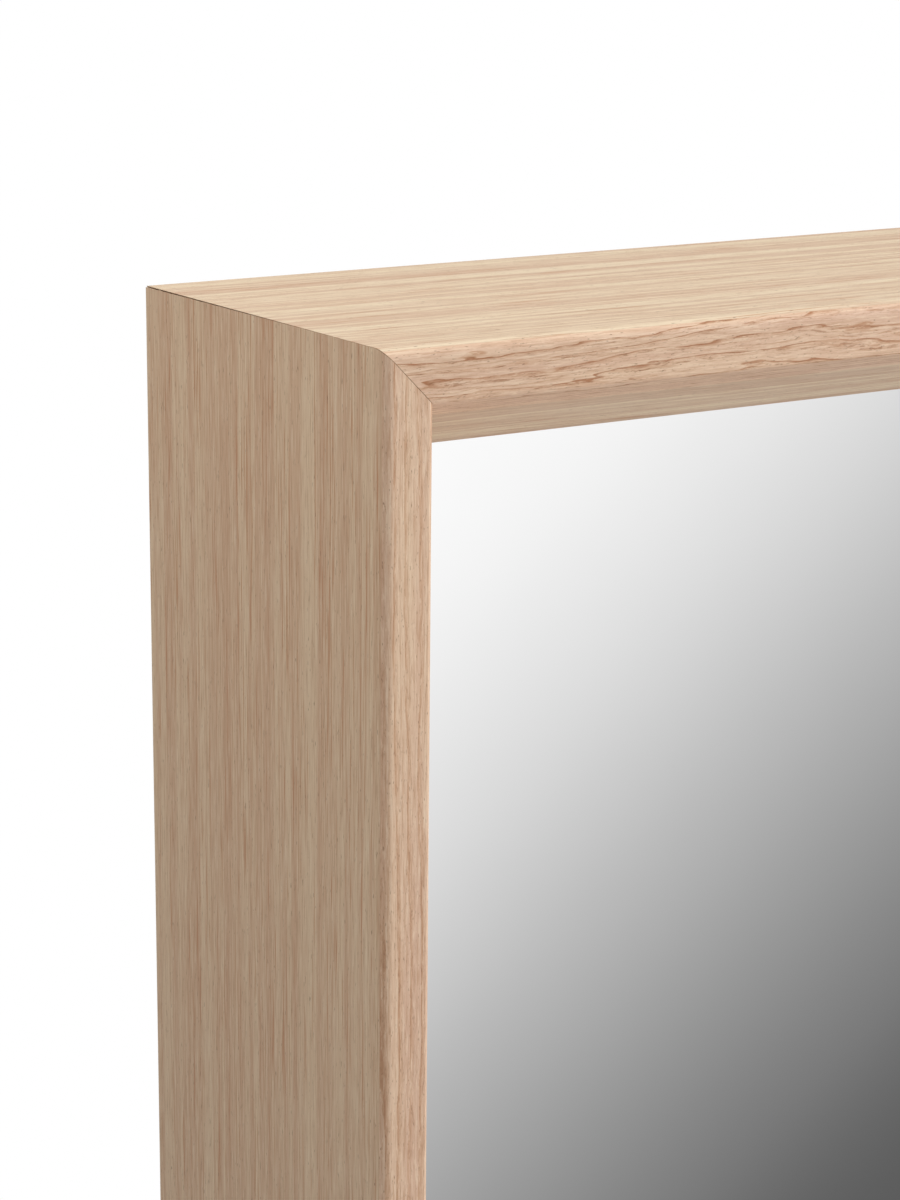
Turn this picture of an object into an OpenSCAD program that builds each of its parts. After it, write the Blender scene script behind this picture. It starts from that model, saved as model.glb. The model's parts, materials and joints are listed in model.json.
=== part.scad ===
// Cheval floor mirror: a deep box frame that tilts between two posts on a pair of feet.
// Origin on the floor under the middle of the stand. +X to the right, +Y to the back, +Z up.

/* [Mirror frame] */
// Outside width of the frame
frame_w = 560; // [460:10:680]
// Outside height of the frame
frame_h = 1560; // [1360:10:1700]
// Depth of the frame, front to back
frame_d = 105; // [100:1:110]
// Width of the frame's front edge, and thickness of its boards
front_w = 12; // [12:1:16]
// Depth from the front edge to the back of the sloping reveal
reveal_d = 44; // [42:1:46]
// How far the reveal slopes in from the front edge to the glass
reveal_rise = 18.5; // [15:0.5:22]
// Rounding of the frame's outer front edge
edge_r = 3; // [2:0.5:4]

/* [Glass and back] */
// Thickness of the silvered glass
glass_t = 4; // [3:1:5]
// Thickness of the back panel
panel_t = 3; // [3:1:5]

/* [Stand] */
// Height of the frame's bottom edge above the floor
ground_gap = 130; // [125:5:180]
// Height of the pivots above the middle of the frame
pivot_rise = 25; // [10:5:60]
// Thickness of each post, side to side
post_t = 26; // [24:1:30]
// Depth of each post, front to back
post_d = 54; // [50:2:64]
// Length of each foot, front to back
foot_l = 470; // [440:10:560]
// Width of each foot, side to side
foot_w = 40; // [38:1:50]

/* [Knobs] */
// Diameter of each clamping knob
knob_d = 44; // [40:1:52]
// Length of each clamping knob
knob_l = 30; // [28:1:36]

/* [Hidden] */
$fn = 64;
over = 1;                                  // how far a cutter runs past the face it cuts

mid_z = ground_gap + frame_h / 2;
top_z = ground_gap + frame_h;
pivot_z = mid_z + pivot_rise;

// Section of a frame side: u runs in from the outer face, v back from the front edge
veneer_t = 0.6;                            // face veneer, laid over the lipping before rounding
lipping_d = 12;                            // depth of the solid lipping on the front edge
reveal_slope = reveal_rise / reveal_d;
reveal_angle = atan(reveal_slope);
reveal_u = front_w + reveal_rise;          // where the reveal meets the glass
inner_r = 1.2;                             // rounding of the inner front edge
back_r = 1;                                // rounding of the back edges
tape_t = 1;
tape_w = 12;
tape_inset = 3;                            // how far the tape stays back from the reveal's edge
glass_v = reveal_d + tape_t;
glass_gap = 1.5;                           // room between the glass and the boards
panel_v = glass_v + glass_t;
bead_v = panel_v + panel_t;
bead_w = 12;
bead_d = 18;
bead_chamfer = 3;

// Loose tongue in each mitre
spline_t = 3;
spline_w = 10;
spline_l = 60;
spline_u = 7.2;                            // middle of the tongue, in from both outer faces

// Steel corner brace
brace_leg = 46;
brace_w = 16;
brace_t = 2;
brace_v = frame_d - 28;
brace_holes = [18, 37];                    // screw places along a leg, from the inner corner

// Screws: [shank radius, length, head radius, head height, countersunk]
bead_screw = [1.75, 20, 3.5, 2, true];
brace_screw = [1.75, 9, 3.2, 1.8, false];
plate_screw = [2, 20, 4, 2.2, true];
bead_screw_pitch = 280;
short_bead_screw_x = frame_w * 0.27;

// Pivot: plate let into the board, stud, washers, bush and knob, from the frame outwards
plate_t = 3;
plate_h = 90;
plate_d = 48;
plate_r = 6;
plate_screw_z = 35;
plate_screws_v = [reveal_d - 5, bead_v + bead_d / 2]; // into the reveal's filling and the bead
stud_r = 5;
friction_t = 2.5;
friction_r = 22;
bush_r = 7.5;
bush_flange_r = 11;
bush_flange_t = 1.5;
clamp_washer_t = 2;
clamp_washer_r = 13;
running_gap = 0.05;                        // radial clearance of the stud in bush, washers and insert
insert_r = 7;
insert_l = 22;
insert_flange_r = 10;
insert_flange_t = 1.5;
stud_l = friction_t + post_t + clamp_washer_t + insert_l;

// Stand
post_in = frame_w / 2 + friction_t;        // inner face of a post
post_x = post_in + post_t / 2;             // middle of a post
post_out = post_in + post_t;               // outer face of a post
post_edge_r = 3;
glide_t = 4;
glide_r = 12;
glide_pin_r = 2;
glide_pin_l = 12;
glide_y = foot_l / 2 - 22;
foot_z = glide_t;
foot_h = 46;                               // top of the foot at the post
foot_end_r = 10;
foot_flat = 90;                            // level stretch under the post
arch_h = 7;
arch_l = foot_l - 140;
stretcher_z = 56;
stretcher_h = 42;
stretcher_t = 22;

// Knock-down bolts and barrel nuts
bolt_r = 3;
bolt_head_r = 5;
bolt_head_h = 6;
bolt_socket_r = 2.9;
bolt_socket_d = 3;
barrel_r = 5;
barrel_l = 16;
foot_bolt_y = 13;
foot_bolt_sink = 10;                       // head's depth up inside the foot
foot_nut_z = foot_h + 40;
foot_bolt_l = foot_nut_z + barrel_r - foot_z - arch_h - foot_bolt_sink - bolt_head_h;
stretcher_bolt_z = stretcher_z + stretcher_h / 2;
stretcher_nut_in = 30;                     // nut's distance in from the stretcher's end
stretcher_bolt_sink = 1;
stretcher_bolt_l = post_t - stretcher_bolt_sink - bolt_head_h + stretcher_nut_in + barrel_r;
dowel_r = 4;
dowel_l = 30;
dowel_z = 13;                              // each dowel's distance above or below the bolt

ash = [0.85, 0.73, 0.58];
ash_veneer = [0.83, 0.73, 0.60];
ash_solid = [0.82, 0.68, 0.53];
steel = [0.62, 0.63, 0.65];

// ---- Placing ----

// The left side's place: local x runs in from the outer face, y back from the front, z along it
module at_left() {
    translate([-frame_w / 2, -frame_d / 2, mid_z]) children();
}

module at_right() {
    mirror([1, 0, 0]) at_left() children();
}

module at_top() {
    translate([0, -frame_d / 2, top_z]) rotate([0, 90, 0]) children();
}

module at_bottom() {
    translate([0, 0, 2 * mid_z]) mirror([0, 0, 1]) at_top() children();
}

// Left and right, by a sign
module on_side(side) {
    mirror([side > 0 ? 1 : 0, 0, 0]) children();
}

// Each corner's own frame: x runs in, z runs down, from the outer top left corner
module at_corner(side, level) {
    on_side(side)
        translate([0, 0, mid_z]) mirror([0, 0, level < 0 ? 1 : 0])
            translate([-frame_w / 2, -frame_d / 2, frame_h / 2]) children();
}

// A cylinder along X, outwards from x, on the left side
module bar_x(x, r, l) {
    translate([-x, 0, 0]) rotate([0, -90, 0]) cylinder(r = r, h = l);
}

// ---- Shapes ----

// What a rounding of radius r takes off a square corner at the origin
module corner_cut(r) {
    difference() {
        translate([-over, -over]) square(r + over);
        translate([r, r]) circle(r);
    }
}

module rounded_rect(w, d, r) {
    square([w, d - 2 * r], center = true);
    square([w - 2 * r, d], center = true);
    for (x = [-1, 1], y = [-1, 1]) translate([x * (w / 2 - r), y * (d / 2 - r)]) circle(r);
}

// What rounding takes off the inner front edge, where the front meets the sloping reveal
module inner_cut(r) {
    centre_u = front_w + r * reveal_slope - r / cos(reveal_angle);
    touch = [centre_u + r * cos(reveal_angle), r - r * sin(reveal_angle)];
    difference() {
        polygon([[centre_u, -over], [front_w + 2, -over], [front_w + 2, touch[1]], touch, [centre_u, r]]);
        translate([centre_u, r]) circle(r);
    }
}

// A frame side of the given section, cut to 45 degrees at both ends
module mitred(length) {
    reach = 40;
    intersection() {
        linear_extrude(height = length, center = true) children();
        translate([0, frame_d + over, 0]) rotate([90, 0, 0]) linear_extrude(height = frame_d + 2 * over)
            polygon([
                [0, -length / 2], [reach, reach - length / 2],
                [reach, length / 2 - reach], [0, length / 2]
            ]);
    }
}

// A screw with its head's top at z = 0 and its shank running down
module screw(s) {
    head = s[4] ? [[s[2], 0], [s[0], -s[3]]] : [[s[2], s[3]], [s[2], 0], [s[0], 0]];
    start = s[4] ? 0 : s[3];
    rotate_extrude() polygon(concat([[0, start]], head, [[s[0], 0.8 - s[1]], [0, -s[1]]]));
}

// A socket head bolt: the head's underside at z = 0, its shank running up
module bolt(length) {
    difference() {
        union() {
            cylinder(r = bolt_r, h = length);
            translate([0, 0, -bolt_head_h]) cylinder(r = bolt_head_r, h = bolt_head_h);
        }
        translate([0, 0, -bolt_head_h - over]) cylinder(r = bolt_socket_r, h = bolt_socket_d + over, $fn = 6);
    }
}

// A cylinder with a threaded hole across it for a bolt, the cylinder along z from 0 to its length
module barrel_nut(hole_at) {
    difference() {
        cylinder(r = barrel_r, h = barrel_l);
        translate([0, 0, hole_at]) rotate([0, 90, 0])
            cylinder(r = bolt_r, h = 2 * (barrel_r + over), center = true);
    }
}

// The hole that a bolt sits in, with the head's hole open below
module bolt_hole(length, sink) {
    cylinder(r = bolt_r, h = length);
    translate([0, 0, -bolt_head_h - sink]) cylinder(r = bolt_head_r + 1, h = bolt_head_h + sink);
}

// ---- Sections of the frame ----

module board_section() {
    difference() {
        union() {
            translate([0, lipping_d]) square([front_w, frame_d - lipping_d]);
            square([veneer_t, lipping_d + over]);
        }
        corner_cut(edge_r);
        translate([0, frame_d]) mirror([0, 1]) corner_cut(back_r);
        translate([front_w, frame_d]) mirror([0, 1]) mirror([1, 0]) corner_cut(back_r);
    }
}

module lipping_section() {
    difference() {
        polygon([
            [veneer_t, 0], [front_w, 0],
            [front_w + lipping_d * reveal_slope, lipping_d], [veneer_t, lipping_d]
        ]);
        corner_cut(edge_r);
        inner_cut(inner_r);
    }
}

module reveal_section() {
    polygon([
        [front_w, lipping_d], [front_w + lipping_d * reveal_slope, lipping_d],
        [reveal_u, reveal_d], [front_w, reveal_d]
    ]);
}

module tape_section() {
    translate([reveal_u - tape_inset - tape_w, reveal_d]) square([tape_w, tape_t]);
}

module bead_section() {
    translate([front_w, bead_v])
        polygon([
            [0, 0], [bead_w, 0], [bead_w, bead_d - bead_chamfer],
            [bead_w - bead_chamfer, bead_d], [0, bead_d]
        ]);
}

// ---- Fasteners of the frame ----

module left_bead_screws() {
    at_left() for (i = [-2.5:1:2.5])
        translate([front_w + bead_w, bead_v + bead_d / 2 - 2, i * bead_screw_pitch]) rotate([0, 90, 0])
            screw(bead_screw);
}

module top_bead_screws() {
    at_top() for (x = [-1, 1])
        translate([front_w + bead_w, bead_v + bead_d / 2 - 2, x * short_bead_screw_x]) rotate([0, 90, 0])
            screw(bead_screw);
}

module bottom_bead_screws() {
    translate([0, 0, 2 * mid_z]) mirror([0, 0, 1]) top_bead_screws();
}

// Screws of one corner's brace, two in each leg
module corner_screws() {
    inside = front_w + brace_t;
    for (d = brace_holes) {
        translate([front_w + d, brace_v + brace_w / 2, -inside]) rotate([180, 0, 0]) screw(brace_screw);
        translate([inside, brace_v + brace_w / 2, -front_w - d]) rotate([0, 90, 0]) screw(brace_screw);
    }
}

module left_plate_screws() {
    for (v = plate_screws_v, z = [-1, 1])
        translate([-frame_w / 2, v - frame_d / 2, pivot_z + z * plate_screw_z]) rotate([0, -90, 0])
            screw(plate_screw);
}

// A loose tongue across the mitre of one corner
module corner_spline() {
    translate([spline_u, frame_d / 2 + 5, -spline_u]) rotate([0, -45, 0])
        cube([spline_w, spline_l, spline_t], center = true);
}

module all_splines() {
    for (side = [-1, 1], level = [-1, 1]) at_corner(side, level) corner_spline();
}

module all_corner_screws() {
    for (side = [-1, 1], level = [-1, 1]) at_corner(side, level) corner_screws();
}

// ---- Frame ----

module left_board_solid() {
    difference() {
        at_left() mitred(frame_h) board_section();
        plate_pocket();
        left_plate_screws();
        left_bead_screws();
        all_splines();
        all_corner_screws();
    }
}

module top_board_solid() {
    difference() {
        at_top() mitred(frame_w) board_section();
        top_bead_screws();
        all_splines();
        all_corner_screws();
    }
}

module bottom_board_solid() {
    difference() {
        at_bottom() mitred(frame_w) board_section();
        bottom_bead_screws();
        all_splines();
        all_corner_screws();
    }
}

module side_board(side) {
    color(ash_veneer) on_side(side) left_board_solid();
}

module top_board() {
    color(ash_veneer) top_board_solid();
}

module bottom_board() {
    color(ash_veneer) bottom_board_solid();
}

module side_lipping(side) {
    color(ash_solid) on_side(side) at_left() mitred(frame_h) lipping_section();
}

module top_lipping() {
    color(ash_solid) at_top() mitred(frame_w) lipping_section();
}

module bottom_lipping() {
    color(ash_solid) at_bottom() mitred(frame_w) lipping_section();
}

module side_reveal(side) {
    color(ash_veneer) on_side(side) difference() {
        at_left() mitred(frame_h) reveal_section();
        left_plate_screws();
    }
}

module top_reveal() {
    color(ash_veneer) at_top() mitred(frame_w) reveal_section();
}

module bottom_reveal() {
    color(ash_veneer) at_bottom() mitred(frame_w) reveal_section();
}

module mitre_splines() {
    color(ash) all_splines();
}

module side_bead(side) {
    color(ash) on_side(side) difference() {
        at_left() mitred(frame_h) bead_section();
        left_bead_screws();
        left_plate_screws();
    }
}

module top_bead() {
    color(ash) difference() {
        at_top() mitred(frame_w) bead_section();
        top_bead_screws();
    }
}

module bottom_bead() {
    color(ash) difference() {
        at_bottom() mitred(frame_w) bead_section();
        bottom_bead_screws();
    }
}

module bead_screws() {
    color(steel) {
        for (side = [-1, 1]) on_side(side) left_bead_screws();
        top_bead_screws();
        bottom_bead_screws();
    }
}

module corner_brace(side, level) {
    leg = front_w + brace_leg;
    inside = front_w + brace_t;
    color(steel) difference() {
        at_corner(side, level) translate([0, brace_v + brace_w, 0]) rotate([90, 0, 0])
            linear_extrude(height = brace_w) polygon([
                [front_w, -front_w], [leg, -front_w], [leg, -inside],
                [inside, -inside], [inside, -leg], [front_w, -leg]
            ]);
        at_corner(side, level) corner_screws();
    }
}

module brace_screws() {
    color(steel) all_corner_screws();
}

// ---- Glass and back ----

// A flat sheet behind the reveal, from v and t thick, with a gap to the boards all round
module sheet(v, t, gap) {
    width = frame_w - 2 * (front_w + gap);
    height = frame_h - 2 * (front_w + gap);
    translate([-width / 2, v - frame_d / 2, mid_z - height / 2]) cube([width, t, height]);
}

module mirror_plate() {
    color([0.80, 0.84, 0.86]) sheet(glass_v, glass_t, glass_gap);
}

module back_panel() {
    color([0.45, 0.34, 0.24]) sheet(panel_v, panel_t, glass_gap / 2);
}

module glazing_tape() {
    color([0.12, 0.12, 0.12]) {
        at_left() mitred(frame_h) tape_section();
        at_right() mitred(frame_h) tape_section();
        at_top() mitred(frame_w) tape_section();
        at_bottom() mitred(frame_w) tape_section();
    }
}

// ---- Pivots ----

module plate_blank(t) {
    translate([-frame_w / 2, 0, pivot_z]) rotate([0, 90, 0])
        linear_extrude(height = t) rounded_rect(plate_h, plate_d, plate_r);
}

module plate_pocket() {
    plate_blank(plate_t);
    translate([-over, 0, 0]) plate_blank(over);
}

module pivot_plate(side) {
    color(steel) on_side(side) {
        difference() {
            plate_blank(plate_t);
            left_plate_screws();
        }
        translate([0, 0, pivot_z]) bar_x(frame_w / 2 - plate_t / 2, stud_r, plate_t / 2 + stud_l);
    }
}

module pivot_plate_screws() {
    color(steel) for (side = [-1, 1]) on_side(side) left_plate_screws();
}

// A flat ring round the stud, outwards from x
module ring(side, x, r, t) {
    on_side(side) translate([0, 0, pivot_z]) difference() {
        bar_x(x, r, t);
        bar_x(x - over, stud_r + running_gap, t + 2 * over);
    }
}

module friction_washer(side) {
    color([0.32, 0.24, 0.18]) ring(side, frame_w / 2, friction_r, friction_t);
}

module bush_body() {
    bar_x(post_in, bush_r, post_t);
    bar_x(post_in, bush_flange_r, bush_flange_t);
}

module pivot_bush(side) {
    color([0.78, 0.62, 0.32]) on_side(side) translate([0, 0, pivot_z]) difference() {
        bush_body();
        bar_x(post_in - over, stud_r + running_gap, post_t + 2 * over);
    }
}

module clamp_washer(side) {
    color(steel) ring(side, post_out, clamp_washer_r, clamp_washer_t);
}

// Turned outline of the knob: r across, h outwards from the washer
module knob_outline() {
    head_h = 18;
    round_r = 5;
    collar_r = 15;
    neck_r = 12.5;
    square([collar_r, 4]);
    square([neck_r, knob_l - head_h + over]);
    translate([0, knob_l - head_h]) square([knob_d / 2 - round_r, head_h]);
    translate([0, knob_l - head_h + round_r]) square([knob_d / 2, head_h - 2 * round_r]);
    for (h = [knob_l - head_h + round_r, knob_l - round_r])
        translate([knob_d / 2 - round_r, h]) circle(round_r);
}

module insert_body() {
    cylinder(r = insert_r, h = insert_l + over);
    cylinder(r = insert_flange_r, h = insert_flange_t);
}

// The knob's place on the left: z outwards from the clamp washer
module at_knob(side) {
    on_side(side) translate([-post_out - clamp_washer_t, 0, pivot_z]) rotate([0, -90, 0]) children();
}

module knob(side) {
    color(ash_solid) at_knob(side) difference() {
        rotate_extrude() knob_outline();
        insert_body();
    }
}

module knob_insert(side) {
    color([0.78, 0.62, 0.32]) at_knob(side) difference() {
        insert_body();
        translate([0, 0, -over]) cylinder(r = stud_r + running_gap, h = insert_l + over + 0.5);
    }
}

// ---- Stand ----

// The post's outline from the side, round at the top about the pivot
module post_outline() {
    translate([-post_d / 2, foot_h]) square([post_d, pivot_z - foot_h]);
    translate([0, pivot_z]) circle(d = post_d);
}

module foot_bolt_holes() {
    for (y = [-1, 1]) {
        translate([-post_x, y * foot_bolt_y, foot_z + arch_h + foot_bolt_sink + bolt_head_h])
            bolt_hole(foot_bolt_l, foot_bolt_sink + over);
        translate([0, y * foot_bolt_y, foot_nut_z]) bar_x(post_in - over, barrel_r, barrel_l + 3 + over);
    }
}

module left_stretcher_joint_holes() {
    head = post_out - stretcher_bolt_sink - bolt_head_h;
    translate([-head, 0, stretcher_bolt_z]) rotate([0, 90, 0])
        bolt_hole(stretcher_bolt_l, stretcher_bolt_sink + over);
    for (z = [-1, 1]) translate([0, 0, stretcher_bolt_z + z * dowel_z])
        bar_x(post_in - dowel_l / 2, dowel_r, dowel_l);
    translate([-post_in + stretcher_nut_in, 0, stretcher_bolt_z]) rotate([-90, 0, 0])
        translate([0, 0, -barrel_l / 2]) cylinder(r = barrel_r, h = barrel_l + over + 10);
}

module post(side) {
    color(ash) on_side(side) difference() {
        intersection() {
            translate([-post_x, 0, foot_h]) linear_extrude(height = pivot_z + post_d)
                rounded_rect(post_t, post_d, post_edge_r);
            translate([-post_out - over, 0, 0]) rotate([90, 0, 90])
                linear_extrude(height = post_t + 2 * over) post_outline();
        }
        translate([0, 0, pivot_z]) {
            bush_body();
            bar_x(post_in - over, bush_flange_r, over);
            bar_x(post_in - over, bush_r, post_t + 2 * over);
        }
        foot_bolt_holes();
        left_stretcher_joint_holes();
    }
}

// The foot's outline from the side: level under the post, sloping straight down to rounded toes
module foot_outline() {
    toe = [foot_l / 2 - foot_end_r, foot_z + foot_end_r];
    slope = [foot_flat / 2, foot_h] - toe;
    turn = atan2(slope[1], slope[0]) - acos(foot_end_r / norm(slope));
    touch = toe + foot_end_r * [cos(turn), sin(turn)];
    difference() {
        union() {
            polygon([
                [-toe[0], foot_z], [toe[0], foot_z], touch, [foot_flat / 2, foot_h],
                [-foot_flat / 2, foot_h], [-touch[0], touch[1]]
            ]);
            for (y = [-1, 1]) translate([y * toe[0], toe[1]]) circle(foot_end_r);
        }
        translate([0, foot_z]) polygon([
            [-arch_l / 2, -over], [-arch_l / 2, 0], [-arch_l / 2 + 3 * arch_h, arch_h],
            [arch_l / 2 - 3 * arch_h, arch_h], [arch_l / 2, 0], [arch_l / 2, -over]
        ]);
    }
}

module foot(side) {
    color(ash) on_side(side) difference() {
        translate([-post_x - foot_w / 2, 0, 0]) rotate([90, 0, 90])
            linear_extrude(height = foot_w) foot_outline();
        foot_bolt_holes();
        for (y = [-1, 1]) glide_at(y) cylinder(r = glide_pin_r, h = glide_t + glide_pin_l);
    }
}

module stretcher() {
    color(ash) difference() {
        translate([-post_in, 0, stretcher_bolt_z]) rotate([0, 90, 0])
            linear_extrude(height = 2 * post_in) rounded_rect(stretcher_h, stretcher_t, 2);
        for (side = [-1, 1]) on_side(side) left_stretcher_joint_holes();
    }
}

module foot_bolts() {
    color(steel) for (side = [-1, 1]) on_side(side) for (y = [-1, 1])
        translate([-post_x, y * foot_bolt_y, foot_z + arch_h + foot_bolt_sink + bolt_head_h])
            bolt(foot_bolt_l);
}

module foot_barrel_nuts() {
    color(steel) for (side = [-1, 1]) on_side(side) for (y = [-1, 1])
        translate([-post_in - 3, y * foot_bolt_y, foot_nut_z]) rotate([0, -90, 0])
            barrel_nut(post_t / 2 - 3);
}

module stretcher_bolts() {
    head = post_out - stretcher_bolt_sink - bolt_head_h;
    color(steel) for (side = [-1, 1]) on_side(side)
        translate([-head, 0, stretcher_bolt_z]) rotate([0, 90, 0]) bolt(stretcher_bolt_l);
}

module stretcher_barrel_nuts() {
    color(steel) for (side = [-1, 1]) on_side(side)
        translate([-post_in + stretcher_nut_in, 0, stretcher_bolt_z]) rotate([-90, 0, 0])
            translate([0, 0, -barrel_l / 2]) barrel_nut(barrel_l / 2);
}

module stretcher_dowels() {
    color(ash) for (side = [-1, 1]) on_side(side) for (z = [-1, 1])
        translate([0, 0, stretcher_bolt_z + z * dowel_z]) bar_x(post_in - dowel_l / 2, dowel_r, dowel_l);
}

module glide_at(y) {
    translate([-post_x, y * glide_y, 0]) children();
}

module glide(side, y) {
    color([0.30, 0.27, 0.24]) on_side(side) glide_at(y) {
        cylinder(r = glide_r, h = glide_t);
        cylinder(r = glide_pin_r, h = glide_t + glide_pin_l);
    }
}

side_board(-1);  // left_board
side_board(1);  // right_board
top_board();
bottom_board();
side_lipping(-1);  // left_lipping
side_lipping(1);  // right_lipping
top_lipping();
bottom_lipping();
side_reveal(-1);  // left_reveal
side_reveal(1);  // right_reveal
top_reveal();
bottom_reveal();
mitre_splines();
glazing_tape();
mirror_plate();
back_panel();
side_bead(-1);  // left_bead
side_bead(1);  // right_bead
top_bead();
bottom_bead();
bead_screws();
corner_brace(-1, 1);  // brace_top_left
corner_brace(1, 1);  // brace_top_right
corner_brace(-1, -1);  // brace_bottom_left
corner_brace(1, -1);  // brace_bottom_right
brace_screws();
pivot_plate(-1);  // left_pivot_plate
pivot_plate(1);  // right_pivot_plate
pivot_plate_screws();
friction_washer(-1);  // left_friction_washer
friction_washer(1);  // right_friction_washer
post(-1);  // left_post
post(1);  // right_post
foot(-1);  // left_foot
foot(1);  // right_foot
stretcher();
pivot_bush(-1);  // left_pivot_bush
pivot_bush(1);  // right_pivot_bush
foot_bolts();
foot_barrel_nuts();
stretcher_bolts();
stretcher_barrel_nuts();
stretcher_dowels();
glide(-1, -1);  // front_left_glide
glide(1, -1);  // front_right_glide
glide(-1, 1);  // back_left_glide
glide(1, 1);  // back_right_glide
clamp_washer(-1);  // left_clamp_washer
clamp_washer(1);  // right_clamp_washer
knob(-1);  // left_knob
knob(1);  // right_knob
knob_insert(-1);  // left_knob_insert
knob_insert(1);  // right_knob_insert
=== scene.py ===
"""Cheval floor mirror: the looks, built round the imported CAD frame. Metres, +Z up, mirror facing -Y."""

import json
import math

import bmesh
import bpy
from mathutils import Matrix, Vector, noise

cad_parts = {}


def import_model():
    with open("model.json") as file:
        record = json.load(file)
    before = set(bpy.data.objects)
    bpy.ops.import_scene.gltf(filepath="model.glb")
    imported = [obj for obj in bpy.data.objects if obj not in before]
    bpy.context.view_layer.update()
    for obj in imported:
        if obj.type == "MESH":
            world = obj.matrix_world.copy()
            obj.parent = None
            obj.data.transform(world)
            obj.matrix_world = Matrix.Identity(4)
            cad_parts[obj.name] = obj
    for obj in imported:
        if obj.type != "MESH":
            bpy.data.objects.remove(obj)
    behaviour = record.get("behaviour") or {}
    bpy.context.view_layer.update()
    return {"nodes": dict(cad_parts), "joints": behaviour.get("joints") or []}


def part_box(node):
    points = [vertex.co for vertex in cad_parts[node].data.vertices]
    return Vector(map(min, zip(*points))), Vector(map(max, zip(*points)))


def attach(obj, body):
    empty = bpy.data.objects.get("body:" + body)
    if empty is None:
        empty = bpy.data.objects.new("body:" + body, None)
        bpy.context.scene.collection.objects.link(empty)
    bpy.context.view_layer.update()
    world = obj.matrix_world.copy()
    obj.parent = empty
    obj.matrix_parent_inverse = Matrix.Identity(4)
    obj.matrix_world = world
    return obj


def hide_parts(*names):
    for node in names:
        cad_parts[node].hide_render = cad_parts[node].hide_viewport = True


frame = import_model()
MM = 0.001

# ---- Sizes read from the frame ----

board_lo, board_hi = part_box("left_board")
lip_lo, lip_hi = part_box("left_lipping")
_, reveal_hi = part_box("left_reveal")
bead_lo, bead_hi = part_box("left_bead")
LEFT, FRONT = board_lo.x, lip_lo.y
TOP, BOTTOM = board_hi.z, board_lo.z
MID_Z = (TOP + BOTTOM) / 2
FRAME_W, FRAME_H, FRAME_D = -2 * LEFT, TOP - BOTTOM, board_hi.y - FRONT
FRONT_W = board_hi.x - board_lo.x                # width of the front edge, and the boards' thickness
VENEER_T = lip_lo.x - board_lo.x                 # the outer veneer runs over the lipping
VENEER_V = board_lo.y - FRONT                    # where the veneer ends in the front rounding
LIP_D = lip_hi.y - lip_lo.y
REVEAL_D = reveal_hi.y - FRONT
REVEAL_RISE = reveal_hi.x - board_hi.x
REVEAL_SLOPE = REVEAL_RISE / REVEAL_D
REVEAL_ANGLE = math.degrees(math.atan(REVEAL_SLOPE))
EDGE_R = VENEER_V + VENEER_T + math.sqrt(2 * VENEER_V * VENEER_T)       # the front edge's outer rounding
VENEER_END = 360 - math.degrees(math.acos((VENEER_T - EDGE_R) / EDGE_R))  # the veneer's end on it, in degrees
INNER_R = 1.2 * MM
BACK_R = 1.0 * MM
MITRE_CHAMFER = 0.07 * MM
PIVOT = Vector(next(j for j in frame["joints"] if j["name"] == "mirror_tilt")["pos_m"])


# ---- Meshes ----

SHARP_ANGLE = 35                                 # degrees; sharper edges than this stay crisp
SAME_POINT = 1e-7
LEVEL = 1e-9
CLEAR = 1e-6
SEED_STEP = (38.0, 23.0, 411.0)                  # how far one seed moves the wood, in millimetres
FAR_FROM_MITRE = 1000.0


def arc(cu, cv, r, start, end, steps=10):
    """Points round (cu, cv), from one angle to another in degrees."""
    angles = [math.radians(start + (end - start) * i / steps) for i in range(steps + 1)]
    return [(cu + r * math.cos(a), cv + r * math.sin(a)) for a in angles]


def line(a, b, steps):
    """Points from a to b, without b."""
    return [(a[0] + (b[0] - a[0]) * i / steps, a[1] + (b[1] - a[1]) * i / steps) for i in range(steps)]


def rectangle(half_x, half_y):
    """The corners of a rectangle about the origin."""
    return [(half_x, half_y), (-half_x, half_y), (-half_x, -half_y), (half_x, -half_y)]


def rounded(corners, steps=6):
    """A closed outline from corners (x, y, radius), each corner turned into an arc of its radius."""
    points = []
    for i, (x, y, r) in enumerate(corners):
        here = Vector((x, y))
        before = (Vector(corners[i - 1][:2]) - here).normalized()
        after = (Vector(corners[(i + 1) % len(corners)][:2]) - here).normalized()
        if r <= 0:
            points.append((x, y))
            continue
        half = before.angle(after) / 2
        centre = here + (before + after).normalized() * (r / math.sin(half))
        a = here + before * (r / math.tan(half)) - centre
        turn = a.angle_signed(here + after * (r / math.tan(half)) - centre)
        start = math.degrees(math.atan2(a.y, a.x))
        points += arc(centre.x, centre.y, r, start, start - math.degrees(turn), steps)
    return points


def inset(outline, d):
    """The closed outline moved inwards by d."""
    area = sum(a[0] * b[1] - b[0] * a[1] for a, b in zip(outline, outline[1:] + outline[:1]))
    side = 1 if area > 0 else -1
    moved = []
    for i, p in enumerate(outline):
        before = (Vector(p) - Vector(outline[i - 1])).normalized()
        after = (Vector(outline[(i + 1) % len(outline)]) - Vector(p)).normalized()
        normals = [Vector((-e.y, e.x)) * side for e in (before, after)]
        middle = (normals[0] + normals[1]).normalized()
        moved.append(tuple(Vector(p) + middle * (d / max(middle.dot(normals[0]), 0.5))))
    return moved


def make(name, bm):
    """An object from a bmesh, with its normals turned outwards."""
    bmesh.ops.recalc_face_normals(bm, faces=bm.faces)
    mesh = bpy.data.meshes.new(name)
    bm.to_mesh(mesh)
    bm.free()
    obj = bpy.data.objects.new(name, mesh)
    bpy.context.scene.collection.objects.link(obj)
    return obj


def bridge(bm, rings):
    """Quads between neighbouring rings of vertices, and a face over each end ring."""
    count = len(rings[0])
    for a, b in zip(rings, rings[1:]):
        for i in range(count):
            j = (i + 1) % count
            bm.faces.new((a[i], a[j], b[j], b[i]))
    bm.faces.new(rings[0])
    bm.faces.new(rings[-1])


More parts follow.
